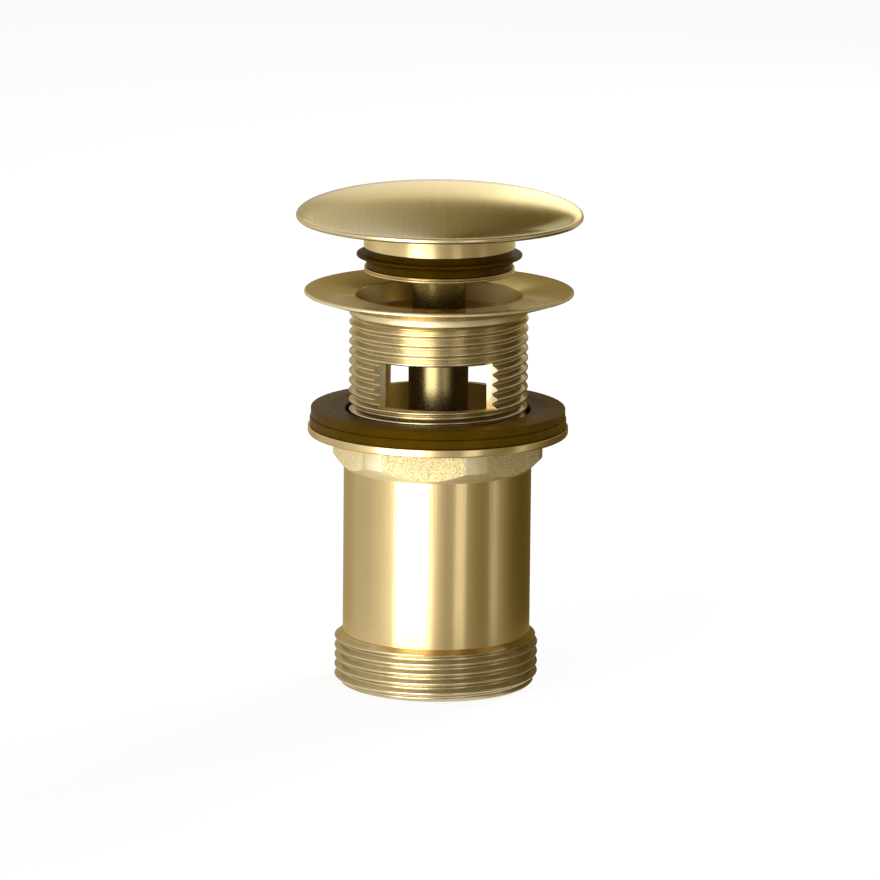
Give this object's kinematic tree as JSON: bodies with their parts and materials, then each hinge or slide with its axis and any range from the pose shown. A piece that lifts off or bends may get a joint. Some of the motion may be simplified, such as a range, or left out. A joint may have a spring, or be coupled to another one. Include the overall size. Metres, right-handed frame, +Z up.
{
  "type": "pop-up basin waste",
  "caption": "Slotted push-open basin waste: domed brass plug on a sprung cam cartridge in a flanged, threaded neck that screws into a hexagon tail piece.",
  "frame": {"origin": "centre of the tail piece's lower end, on which the part stands", "axes": "+Z up along the waste's axis, -Y towards the front overflow window"},
  "size_m": [0.067, 0.067, 0.1175],
  "materials": {
    "brushed_brass": "brushed",
    "turned_brass": "turned",
    "cast_brass": "polished tube, cast hexagon",
    "rubber": "matt",
    "polymer": "satin",
    "acetal": "satin",
    "steel": "bright"
  },
  "bodies": {
    "body": {"waste_body": "turned_brass", "cartridge_housing": "turned_brass", "core_post": "turned_brass", "return_spring": "steel", "split_washer": "steel", "lock_nut": "turned_brass"},
    "thrust": {"spring_seat": "steel"},
    "plug": {"dome_cap": "brushed_brass", "plug_body": "turned_brass", "plug_seal": "rubber", "seal_retainer": "turned_brass", "plug_stud": "steel", "plunger": "turned_brass", "plunger_seal": "rubber", "ring_clip": "steel"},
    "cam": {"cam_ring": "acetal", "track_balls": "steel"},
    "washers": {"sealing_washer": "rubber", "friction_washer": "polymer"},
    "tail": {"tail_piece": "cast_brass"}
  },
  "joints": [
    {"name": "plug_press", "type": "slide", "parent": "body", "child": "thrust", "axis": [0, 0, 1], "range_m": [-0.0125, 0], "stiffness_N_per_m": 1350, "springref_m": 0.0025, "deforming": ["return_spring"]},
    {"name": "plug_turn", "type": "hinge", "parent": "thrust", "child": "plug", "pos_m": [0, 0, 0.0938], "axis": [0, 0, 1], "continuous": true},
    {"name": "cam_index", "type": "hinge", "parent": "thrust", "child": "cam", "pos_m": [0, 0, 0.06775], "axis": [0, 0, 1], "range_deg": [0, 60]},
    {"name": "washer_slide", "type": "slide", "parent": "body", "child": "washers", "axis": [0, 0, 1], "range_m": [-0.008, 0.011]},
    {"name": "tail_screw", "type": "hinge", "parent": "washers", "child": "tail", "pos_m": [0, 0, 0.0614], "axis": [0, 0, 1], "range_deg": [-1247, 1715]}
  ],
  "couplings": [
    {"joint": "cam_index", "follows": "plug_press", "rad_per_m": -83.776},
    {"joint": "washer_slide", "follows": "tail_screw", "m_per_rad": 0.00036749}
  ]
}
